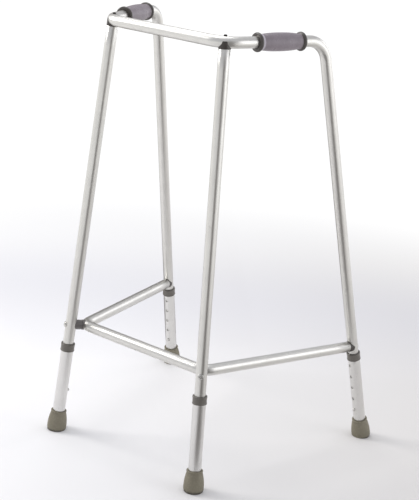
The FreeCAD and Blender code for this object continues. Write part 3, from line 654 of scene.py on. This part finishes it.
def cross_recess(arm, half_width, depth, top):
    """A cross-head recess pressed into a turned head's crown."""

    def press(angle, radius, height):
        x, y = abs(radius * math.cos(angle)), abs(radius * math.sin(angle))
        narrow, longer = min(x, y), max(x, y)
        if height > top and radius < arm and narrow < half_width:
            slope = min(1.0, (half_width - narrow) / (half_width * 0.45))
            slope *= min(1.0, (arm - longer) / (arm * 0.3))
            height -= depth * slope
        return radius, height

    return press


def pan_head(name, place, radius, height, shank, shank_length):
    """A cross-head screw: its shank up the placement's Z, its head below the origin."""
    flipped = place @ Matrix.Rotation(math.pi, 4, "X")
    crown = [
        (radius * math.sin(turn), height * (0.42 + 0.58 * math.cos(turn) ** 1.4))
        for turn in [math.radians(90 - 7.5 * step) for step in range(1, 12)]
    ]
    profile = [(0.0, -shank_length), (shank * 0.8, -shank_length), (shank, -shank_length + 0.0008)]
    profile += [(shank, -0.0045), (radius, -0.0045), (radius, height * 0.36)] + crown
    profile += [(radius * 0.09, height), (0.0, height)]
    recess = cross_recess(radius * 0.58, radius * 0.15, height * 0.55, height * 0.5)
    return turned(name, flipped, profile, 96, recess)


bolts = []
nuts = []
for side in SIDES:
    leg = legs["front", side]
    centre = leg.at(bolt_at)
    across = turning_frame(centre, leg.facing, leg.up)
    far = TUBE_R * 2 + SPACER_GAP

    def eight_sided(angle, radius, height):
        if height > far - TUBE_R - 0.0005 or radius < 0.006:
            return radius, height
        turn = math.remainder(angle, math.pi / 4)
        flat = radius * math.cos(math.pi / 8) / math.cos(turn)
        return flat + (radius - flat) * 0.25, height

    lip = far - TUBE_R + 0.0002
    block = turned(
        f"spacer_block_{side}",
        across,
        eased(
            [
                (0.0035, 0.006),
                (0.0099, 0.006),
                (0.0101, lip - 0.0038),
                (0.0092, lip - 0.0032),
                (0.0092, lip - 0.0024),
                (SPACER_R, lip - 0.0018),
                (SPACER_R, far - 0.0055),
                (0.0035, far - 0.0055),
            ],
            0.0004,
        ),
        96,
        eight_sided,
    )
    fitted(block, "frame", "plug_plastic", spacer_plastic, f"brace_spacer_{side}")

    head_at = turning_frame(centre - leg.facing * TUBE_R, leg.facing, leg.up)
    bolts.append(pan_head(f"bolt_{side}", head_at, BOLT_HEAD_R, BOLT_HEAD_H, SHANK_R, BOLT_LENGTH))

    def hexagon(angle, radius, height):
        turn = math.remainder(angle, math.pi / 3)
        flat = NUT_R * math.cos(math.pi / 6) / math.cos(turn)
        return min(radius, flat), height

    nut_at = turning_frame(leg.at(bolt_at) + leg.facing * (far + TUBE_R - 0.0008), leg.facing, leg.up)
    turns = [0.1 * step for step in range(1, 14)]
    dome = [(NUT_R * 1.02 * math.cos(turn), 0.0042 + 0.0046 * math.sin(turn)) for turn in turns]
    nut_profile = [(0.0, 0.0), (NUT_R * 0.9, 0.0), (NUT_R, 0.0006), (NUT_R, 0.004)]
    nut_profile += dome + [(0.0011, NUT_H), (0.0, NUT_H)]
    nuts.append(turned(f"nut_{side}", nut_at, nut_profile, 96, hexagon))
fitted(joined("brace_bolt_pair", bolts), "frame", "bright_steel", bright_steel, "brace_bolts")
fitted(joined("brace_nut_pair", nuts), "frame", "bright_steel", bright_steel, "brace_nuts")

# ---------------------------------------------------------------- brace end plugs and screws
# Each rear end of the brace is closed by a dark plug whose face is hollowed to fit the rear leg.
# A cross-head screw goes in from behind the leg, right through it, into the plug.

END_SCREW_R = 0.005
END_SCREW_H = 0.003
END_SCREW_LENGTH = 0.035
end_screws = []
for side in SIDES:
    leg = legs["rear", side]
    run = brace_run if side == "left" else mirrored(brace_run)
    middle = leg.at(join_at)
    place = turning_frame(middle, run, leg.up)
    tip = TUBE_R + BRACE_END_GAP
    plug = turned(
        f"end_plug_{side}",
        place,
        eased(
            [
                (0.0, 0.0035),
                (TUBE_R, 0.0035),
                (TUBE_R, tip - 0.0001),
                (SPIGOT_R, tip),
                (SPIGOT_R, tip + SPIGOT_DEPTH - 0.001),
                (SPIGOT_R - 0.001, tip + SPIGOT_DEPTH),
                (0.0, tip + SPIGOT_DEPTH),
            ],
            0.0003,
        ),
        72,
    )
    fitted(plug, "frame", "plug_plastic", saddle_nylon, f"brace_end_plug_{side}")
    head_at = turning_frame(middle - run * TUBE_R, run, leg.up)
    screw = pan_head(f"end_screw_{side}", head_at, END_SCREW_R, END_SCREW_H, SHANK_R, END_SCREW_LENGTH)
    end_screws.append(screw)
fitted(joined("brace_end_screw_pair", end_screws), "frame", "bright_steel", bright_steel, "brace_end_screws")

# ---------------------------------------------------------------- handgrips
# Soft dark vinyl grips, pushed onto the handles. Each has a round bead at both ends, a
# groove inside each bead, and a full barrel between with fine moulded ribs round it.

GRIP_START = 0.0697
GRIP_LENGTH = 0.108
BEAD_R = 0.0183
BEAD_WIDTH = 0.007
BEAD_SWELL = 0.0022
NECK_R = 0.0148
NECK_AT = 0.011
BARREL_R = 0.0176
RIB_PITCH = 0.003
RIB_DEPTH = 0.0003


def grip_bead(start):
    """The rounded bead at one end of a grip."""
    return [
        (
            BEAD_R - BEAD_SWELL + BEAD_SWELL * math.sin(math.pi * step / 12),
            start + BEAD_WIDTH / 2 * (1 - math.cos(math.pi * step / 12)),
        )
        for step in range(13)
    ]


def grip_profile(start):
    points = [(TUBE_R + 0.0002, start + 0.0006), (BEAD_R - 0.0036, start)] + grip_bead(start)
    first, last = start + NECK_AT, start + GRIP_LENGTH - NECK_AT
    for step in range(1, 5):
        t = step / 5
        points.append((NECK_R + (BEAD_R - 0.0026 - NECK_R) * (1 - t) ** 2, start + BEAD_WIDTH + t * 0.004))
    count = 260
    for step in range(count + 1):
        along = first + (last - first) * step / count
        t = 2 * step / count - 1
        barrel = NECK_R + (BARREL_R - NECK_R) * (1 - abs(t) ** 2.6)
        inset = min(step, count - step) / count * (last - first)
        rib = RIB_DEPTH * min(1.0, max(0.0, inset - 0.003) / 0.002)
        groove = abs(math.sin(math.pi * (inset / RIB_PITCH))) ** 0.5
        points.append((barrel - rib * (1 - groove), along))
    for step in range(1, 5):
        t = step / 5
        points.append((NECK_R + (BEAD_R - 0.0026 - NECK_R) * t**2, last + t * 0.004))
    finish = start + GRIP_LENGTH
    points += grip_bead(finish - BEAD_WIDTH)
    return points + [(BEAD_R - 0.0036, finish), (TUBE_R + 0.0002, finish - 0.0006)]


def parting_line(angle, radius, height):
    """The faint seam that the two halves of the mould leave along the grip."""
    seam = min(abs(math.remainder(angle, math.pi)), 0.05) / 0.05
    return radius - 0.00012 * seam if radius > 0.013 else radius, height


def grip_painted_light(add, place, barrel_tone):
    """Painted shade makes the two beads darker than the barrel, and a painted highlight lightens the
    front groove.
    """
    along = add("ShaderNodeSeparateXYZ", {0: place}).outputs[2]
    middle = GRIP_START + GRIP_LENGTH / 2
    between = GRIP_LENGTH / 2 - BEAD_WIDTH * 1.15
    barrel = add("ShaderNodeMath", {0: along, 1: middle, 2: between}, operation="COMPARE").outputs[0]
    # painted shade: the beads take a darker colour than the barrel
    beads_painted_dark = blended(add, barrel, (0.058, 0.051, 0.046, 1.0), barrel_tone)
    groove = add(
        "ShaderNodeMath", {0: along, 1: GRIP_START + NECK_AT - 0.0008, 2: 0.0022}, operation="COMPARE"
    ).outputs[0]
    # painted highlight: a pale lavender band in the groove behind the front bead
    bloom_and_groove_highlight = add("ShaderNodeMath", {0: groove, 1: 0.75}, operation="MULTIPLY").outputs[0]
    return blended(add, bloom_and_groove_highlight, beads_painted_dark, (0.50, 0.47, 0.52, 1.0))


vinyl = moulded(
    "grip_vinyl_skin",
    (0.245, 0.212, 0.238, 1.0),
    (0.48, 0.44, 0.48, 1.0),
    (0.165, 0.140, 0.158, 1.0),
    0.32,
    1300.0,
    0.35,
    grip_painted_light,
)
for side in SIDES:
    corner = handle_front if side == "left" else mirrored(handle_front)
    far = handle_rear if side == "left" else mirrored(handle_rear)
    place = turning_frame(corner, far - corner, Vector((0, 0, 1)))
    grip = turned(f"vinyl_grip_{side}", place, grip_profile(GRIP_START), 120, parting_line)
    fitted(grip, "frame", "grip_vinyl", vinyl, f"handgrip_{side}")

# ---------------------------------------------------------------- lower leg tubes
# Wider tubes that slide over the frame's four legs, each with a row of five holes for the snap
# button. The same drawn aluminium, a little brighter where the slide has polished it.

LOWER_R = 0.0127
LOWER_BORE_R = 0.0115
TUBE_FOOT = 0.0075
HOLE_PITCH = 0.0273
HOLE_COUNT = 5
HOLE_IN_USE = {"front": 1, "rear": 0}
COLLAR_LENGTH = 0.0165
COLLAR_LIP = 0.0025

lower_aluminium = satin_anodised(
    "lower_tube_satin", (0.76, 0.75, 0.73, 1.0), (0.68, 0.67, 0.65, 1.0), 0.29, 0.39
)
for leg in legs.values():
    low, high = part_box(f"leg_collar_{leg.name}")
    leg.collar_at = ((low + high) / 2 - leg.foot).dot(leg.up)
    tube_top = leg.collar_at + COLLAR_LENGTH / 2 - COLLAR_LIP
    lowest = leg.button_at - HOLE_PITCH * HOLE_IN_USE[leg.end]
    holes = [
        (lowest + HOLE_PITCH * number - TUBE_FOOT, leg.facing, BUTTON_HOLE_R)
        for number in range(HOLE_COUNT)
    ]
    route = Route([leg.at(TUBE_FOOT), leg.at(tube_top)], [])
    tube = drilled_tube(f"lower_tube_{leg.name}", route, LOWER_R, LOWER_BORE_R, holes)
    node = f"lower_leg_tube_{leg.name}"
    fitted(tube, f"{leg.name}_leg", "lower_tube_aluminium", lower_aluminium, node)
    tube.data.materials.append(bore_painted_shade)

# ---------------------------------------------------------------- collars
# A short moulded cap pushed onto each lower tube's top. Its inner lip guides the upper tube and
# its skirt grips the outer one; a shallow groove runs round its lower edge.

COLLAR_R = 0.0145
GUIDE_R = TUBE_R + 0.00008
collar_plastic = moulded(
    "collar_moulding",
    (0.150, 0.138, 0.120, 1.0),
    (0.38, 0.36, 0.32, 1.0),
    (0.105, 0.096, 0.084, 1.0),
    0.33,
    1500.0,
    0.3,
)
for leg in legs.values():
    low = leg.collar_at - COLLAR_LENGTH / 2
    high = leg.collar_at + COLLAR_LENGTH / 2
    tube_top = high - COLLAR_LIP
    profile = eased(
        [
            (LOWER_R, (low + tube_top) / 2),
            (LOWER_R, low),
            (COLLAR_R - 0.0006, low),
            (COLLAR_R, low + 0.0006),
            (COLLAR_R, low + 0.0024),
            (COLLAR_R - 0.0005, low + 0.0029),
            (COLLAR_R - 0.0005, high - 0.0042),
            (COLLAR_R, high - 0.0036),
            (COLLAR_R, high - 0.001),
            (COLLAR_R - 0.0010, high),
            (GUIDE_R + 0.0010, high),
            (GUIDE_R, high - 0.0010),
            (GUIDE_R, tube_top),
            (LOWER_R, tube_top),
            (LOWER_R, (low + tube_top) / 2),
        ],
        0.0004,
    )
    place = turning_frame(leg.foot, leg.up, leg.facing)
    collar = turned(f"collar_{leg.name}", place, profile[:-1], 72, None, True)
    fitted(collar, f"{leg.name}_leg", "collar_plastic", collar_plastic, f"leg_collar_{leg.name}")

# ---------------------------------------------------------------- rubber ferrules
# Moulded rubber feet pushed onto the lower tubes: a lip at the rim, a belly, a darker sole
# edge, and concentric gripping rings underneath. Their soles are cut level with the floor.

RIM_R = 0.01625
BASE_R = 0.0202
FERRULE_H = 0.0435
FERRULE_FLOOR = 0.006
SOLE_LAND = -0.007
SOLE_GROOVE = -0.0035
GROOVE_DEPTH = 0.0018


def rubber_foot(name):
    """Khaki-grey rubber: chalky bloom, darker and glossier where it is handled, darker towards the sole."""
    material, add, shader, tree = node_tree(name)
    place = add("ShaderNodeAttribute", attribute_name="grain").outputs["Vector"]
    clouds = add("ShaderNodeTexNoise", {"Vector": place, "Scale": 45.0, "Detail": 7.0}).outputs[0]
    bloom_and_groove_highlight = add(
        "ShaderNodeTexNoise", {"Vector": place, "Scale": 300.0, "Detail": 9.0, "Roughness": 0.65}
    ).outputs[0]
    skin = add("ShaderNodeTexNoise", {"Vector": place, "Scale": 1600.0, "Detail": 3.0}).outputs[0]
    body = blended(add, clouds, (0.215, 0.195, 0.140, 1.0), (0.165, 0.148, 0.105, 1.0))
    chalk = ranged(add, bloom_and_groove_highlight, 0.5, 0.75, 0.0, 0.35)
    chalky = blended(add, chalk, body, (0.36, 0.335, 0.26, 1.0))
    height = add("ShaderNodeSeparateXYZ", {0: place}).outputs[2]
    ragged = add("ShaderNodeMath", {0: bloom_and_groove_highlight, 1: 0.006, 2: height}, operation="MULTIPLY_ADD").outputs[0]
    # the colour darkens towards the sole, with a ragged edge
    sole = ranged(add, ragged, 0.0045, 0.009, 0.75, 0.0)
    darker_near_sole = blended(add, sole, chalky, (0.045, 0.040, 0.032, 1.0))
    spread = ranged(add, clouds, 0.3, 0.7, 0.48, 0.66)
    bump = add("ShaderNodeBump", {"Height": skin, "Strength": 0.4, "Distance": 0.00012}).outputs[0]
    shaded(tree, shader, darker_near_sole, spread, bump)
    return material


khaki_rubber = rubber_foot("ferrule_khaki_rubber")
for leg in legs.values():
    belly = []
    for step in range(1, 12):
        t = step / 12
        bulge = 0.0015 * math.sin(math.pi * t)
        belly.append((BASE_R + (RIM_R - 0.0007 - BASE_R) * t + bulge, 0.004 + (FERRULE_H - 0.0075) * t))
    soles = [(0.0, SOLE_LAND)]
    for ring in range(4):
        middle = 0.004 + 0.0036 * ring
        soles += [(middle - 0.0010, SOLE_LAND), (middle - 0.0006, SOLE_GROOVE)]
        soles += [(middle + 0.0006, SOLE_GROOVE), (middle + 0.0010, SOLE_LAND)]
    tread = [(BASE_R - 0.0022, SOLE_LAND), (BASE_R - 0.0012, 0.0008), (BASE_R - 0.0001, 0.0045)]
    outline = eased(tread + belly[1:2], 0.001)
    rim = eased(
        [
            belly[-1],
            (RIM_R - 0.0007, FERRULE_H - 0.0036),
            (RIM_R, FERRULE_H - 0.0028),
            (RIM_R, FERRULE_H - 0.0008),
            (RIM_R - 0.0008, FERRULE_H),
            (LOWER_R + 0.0006, FERRULE_H),
            (LOWER_R, FERRULE_H - 0.0006),
            (LOWER_R, FERRULE_FLOOR),
            (0.0, FERRULE_FLOOR),
        ],
        0.0004,
    )
    place = turning_frame(leg.foot, leg.up, leg.facing)
    foot = turned(f"rubber_foot_{leg.name}", place, soles + outline[:-1] + belly[1:] + rim[1:], 96)
    for vertex in foot.data.vertices:
        in_groove = SOLE_LAND * 0.75 < vertex.co.z < -0.001
        vertex.co.z = GROOVE_DEPTH if in_groove else max(vertex.co.z, 0.0)
    fitted(foot, f"{leg.name}_leg", "ferrule_rubber", khaki_rubber, f"ferrule_{leg.name}")

# ---------------------------------------------------------------- snap buttons
# Domed steel buttons that pop out through both tubes, on a thin flange that stops inside the
# inner tube. Each is pressed in to slide its leg.

BUTTON_R = 0.0032
STAND_OUT = 0.0035
for leg in legs.values():
    crown = LOWER_R + STAND_OUT
    stop = TUBE_BORE_R - 0.0011
    dome = [
        (BUTTON_R * math.cos(turn), crown - 0.0022 + 0.0022 * math.sin(turn))
        for turn in [math.radians(8 * step) for step in range(0, 12)]
    ]
    profile = [(0.0, stop - 0.0008), (0.0042, stop - 0.0008), (0.0042, stop), (BUTTON_R, stop)]
    place = turning_frame(leg.at(leg.button_at), leg.facing, leg.up)
    button = turned(f"button_{leg.name}", place, profile + dome + [(0.0, crown)], 64)
    fitted(button, f"{leg.name}_button", "bright_steel", bright_steel, f"snap_button_{leg.name}")

# ---------------------------------------------------------------- inside the legs
# The V-shaped leaf springs, the nylon glides in the inner tubes' ends and the steel washers in
# the rubber feet are all hidden; they keep their plain solids with their own finishes.

inner_finishes = {
    "snap_spring": fastener_metal("spring_temper", (0.22, 0.20, 0.19, 1.0), (0.10, 0.09, 0.10, 1.0), 0.3),
    "inner_tube_glide": moulded(
        "glide_nylon_skin",
        (0.66, 0.64, 0.58, 1.0),
        (0.80, 0.79, 0.74, 1.0),
        (0.56, 0.54, 0.48, 1.0),
        0.45,
        1500.0,
        0.2,
    ),
    "ferrule_washer": fastener_metal(
        "washer_plating", (0.60, 0.60, 0.58, 1.0), (0.42, 0.42, 0.41, 1.0), 0.34
    ),
}
for kind, finish in inner_finishes.items():
    for leg in legs.values():
        node = frame["nodes"][f"{kind}_{leg.name}"]
        places = node.data.attributes.new("grain", "FLOAT_VECTOR", "POINT")
        places.data.foreach_set("vector", [value for vertex in node.data.vertices for value in vertex.co])
        for index in range(max(1, len(node.material_slots))):
            if index < len(node.material_slots):
                node.material_slots[index].material = finish
            else:
                node.data.materials.append(finish)

# ---------------------------------------------------------------- floor and light
# A pale floor that pales further off, with painted shade darkening it towards the right and in a
# band behind the frame, under large soft lamps on the left, on the right, behind and overhead. Dark
# cards that only metal sees put a soft core down the tubes.

FLOOR_REACH = 30.0
floor_mesh = bpy.data.meshes.new("studio_floor")
floor_corners = [(FLOOR_REACH * x, FLOOR_REACH * y, 0) for x, y in ((-1, -1), (1, -1), (1, 1), (-1, 1))]
floor_mesh.from_pydata(floor_corners, [], [(0, 1, 2, 3)])
floor = bpy.data.objects.new("studio_floor", floor_mesh)
bpy.context.scene.collection.objects.link(floor)

material, add, shader, tree = node_tree("pale_floor")
spot = add("ShaderNodeNewGeometry").outputs["Position"]
distance = add("ShaderNodeVectorMath", {0: spot}, operation="LENGTH").outputs["Value"]
cloud = add("ShaderNodeTexNoise", {"Vector": spot, "Scale": 1.6, "Detail": 2.0}).outputs[0]
paper = blended(add, cloud, (0.83, 0.82, 0.81, 1.0), (0.80, 0.80, 0.82, 1.0))


def towards(direction):
    """How far a place on the floor lies in a direction."""
    return add("ShaderNodeVectorMath", {0: spot, 1: direction}, operation="DOT_PRODUCT").outputs["Value"]


# painted shade: the floor's colour darkens towards the right, as if falling off from the left lamp
falloff = ranged(add, towards((0.87, 0.49, 0.0)), -0.30, 0.80)
painted_falloff = blended(add, falloff, paper, (0.64, 0.62, 0.60, 1.0))
# painted shade: a lavender-grey band on the floor about 0.8 m behind the frame, seen from the camera
behind = towards((-0.60, 0.80, 0.0))
step_in = ranged(add, behind, 0.2, 0.8, interpolation_type="SMOOTHSTEP")
step_out = ranged(add, behind, 1.4, 0.8, interpolation_type="SMOOTHSTEP")
peak = add("ShaderNodeMath", {0: step_in, 1: step_out}, operation="MULTIPLY").outputs[0]
painted_shade_band = add("ShaderNodeMath", {0: peak, 1: 0.5}, operation="MULTIPLY").outputs[0]
with_painted_band = blended(add, painted_shade_band, painted_falloff, (0.62, 0.62, 0.66, 1.0))
tree.links.new(with_painted_band, shader.inputs["Base Color"])
shader.inputs["Roughness"].default_value = 0.75
shader.inputs["Specular IOR Level"].default_value = 0.2
glow = add("ShaderNodeEmission", {"Color": (1.0, 1.0, 1.0, 1.0), "Strength": 1.05}).outputs[0]
far_off = ranged(add, distance, 0.95, 2.1, interpolation_type="SMOOTHSTEP")
mixed = add("ShaderNodeMixShader", {0: far_off, 1: shader.outputs[0], 2: glow}).outputs[0]
tree.links.new(mixed, tree.nodes["Material Output"].inputs["Surface"])
floor_mesh.materials.append(material)

world = bpy.data.worlds.new("studio")
bpy.context.scene.world = world
world.use_nodes = True
backdrop = world.node_tree.nodes["Background"]
backdrop.inputs["Color"].default_value = (0.94, 0.95, 1.0, 1.0)
backdrop.inputs["Strength"].default_value = 0.67


def softbox(name, place, aim, width, height, power, colour):
    """A large flat lamp that faces a point."""
    lamp = bpy.data.lights.new(name, "AREA")
    lamp.shape = "RECTANGLE"
    lamp.size = width
    lamp.size_y = height
    lamp.energy = power
    lamp.color = colour
    piece = bpy.data.objects.new(name, lamp)
    bpy.context.scene.collection.objects.link(piece)
    piece.matrix_world = turning_frame(Vector(place), Vector(place) - Vector(aim), Vector((0, 0, 1)))
    piece.visible_camera = False


def dark_flag(name, corners):
    """A dark card that only the bright metal sees, to put a soft dark core down each tube."""
    card = bpy.data.meshes.new(name)
    card.from_pydata(corners, [], [(0, 1, 2, 3)])
    cloth, _, cloth_shader, _ = node_tree(name)
    cloth_shader.inputs["Base Color"].default_value = (0.20, 0.19, 0.18, 1.0)
    cloth_shader.inputs["Roughness"].default_value = 1.0
    cloth_shader.inputs["Specular IOR Level"].default_value = 0.0
    card.materials.append(cloth)
    flag = bpy.data.objects.new(name, card)
    bpy.context.scene.collection.objects.link(flag)
    for kind in ("camera", "diffuse", "shadow", "transmission", "volume_scatter"):
        setattr(flag, f"visible_{kind}", False)


for number, bearing in enumerate((-36.0, 144.0)):
    out = Vector((math.cos(math.radians(bearing)), math.sin(math.radians(bearing)), 0))
    aside = Vector((-out.y, out.x, 0)) * 0.7
    lift = Vector((0, 0, 0.004))
    near, far, top = out * 0.45 + lift, out * 2.3 + lift, Vector((0, 0, 1.9))
    dark_flag(f"flag_upright_{number}", [far - aside, far + aside, far + aside + top, far - aside + top])
    dark_flag(f"flag_low_{number}", [near - aside * 0.4, near + aside * 0.4, far + aside, far - aside])

softbox("lamp_left", (-2.3, -1.1, 1.9), (0, 0, 0.3), 1.3, 1.3, 46.0, (1.0, 0.985, 0.96))
softbox("lamp_right", (2.4, 1.0, 1.25), (0, 0, 0.3), 1.8, 1.8, 14.0, (0.99, 0.99, 1.0))
softbox("lamp_behind", (0.7, 2.7, 1.35), (0, 0, 0.3), 1.6, 1.6, 11.0, (0.98, 0.98, 1.0))
softbox("lamp_above", (-0.45, 0.05, 2.1), (-0.2, 0.0, 0.0), 0.9, 0.9, 10.0, (1.0, 1.0, 1.0))

# ---------------------------------------------------------------- camera
# A long lens, a little above the handles, turned a few degrees and shifted off its axis. It stands
# in front, on the left of the frame.

TARGET = Vector((-0.0014, 0.0326, 0.420))
AZIMUTH = math.radians(37.03)
ELEVATION = math.radians(16.68)
ROLL = math.radians(5.01)
STAND_BACK = 2.8344

right = Vector((math.cos(AZIMUTH), math.sin(AZIMUTH), 0))
back = Vector(
    (math.sin(AZIMUTH) * math.cos(ELEVATION), -math.cos(AZIMUTH) * math.cos(ELEVATION), math.sin(ELEVATION))
)
above = back.cross(right)
rolled_right = right * math.cos(ROLL) + above * math.sin(ROLL)
rolled_up = above * math.cos(ROLL) - right * math.sin(ROLL)
camera_data = bpy.data.cameras.new("camera")
camera_data.lens = 97.5
camera_data.shift_x = -0.02326
camera_data.shift_y = -0.02568
camera = bpy.data.objects.new("camera", camera_data)
bpy.context.scene.collection.objects.link(camera)
turn = Matrix((rolled_right, rolled_up, back)).transposed().to_4x4()
camera.matrix_world = Matrix.Translation(TARGET + back * STAND_BACK) @ turn
bpy.context.scene.camera = camera
bpy.context.scene.view_settings.view_transform = "Standard"
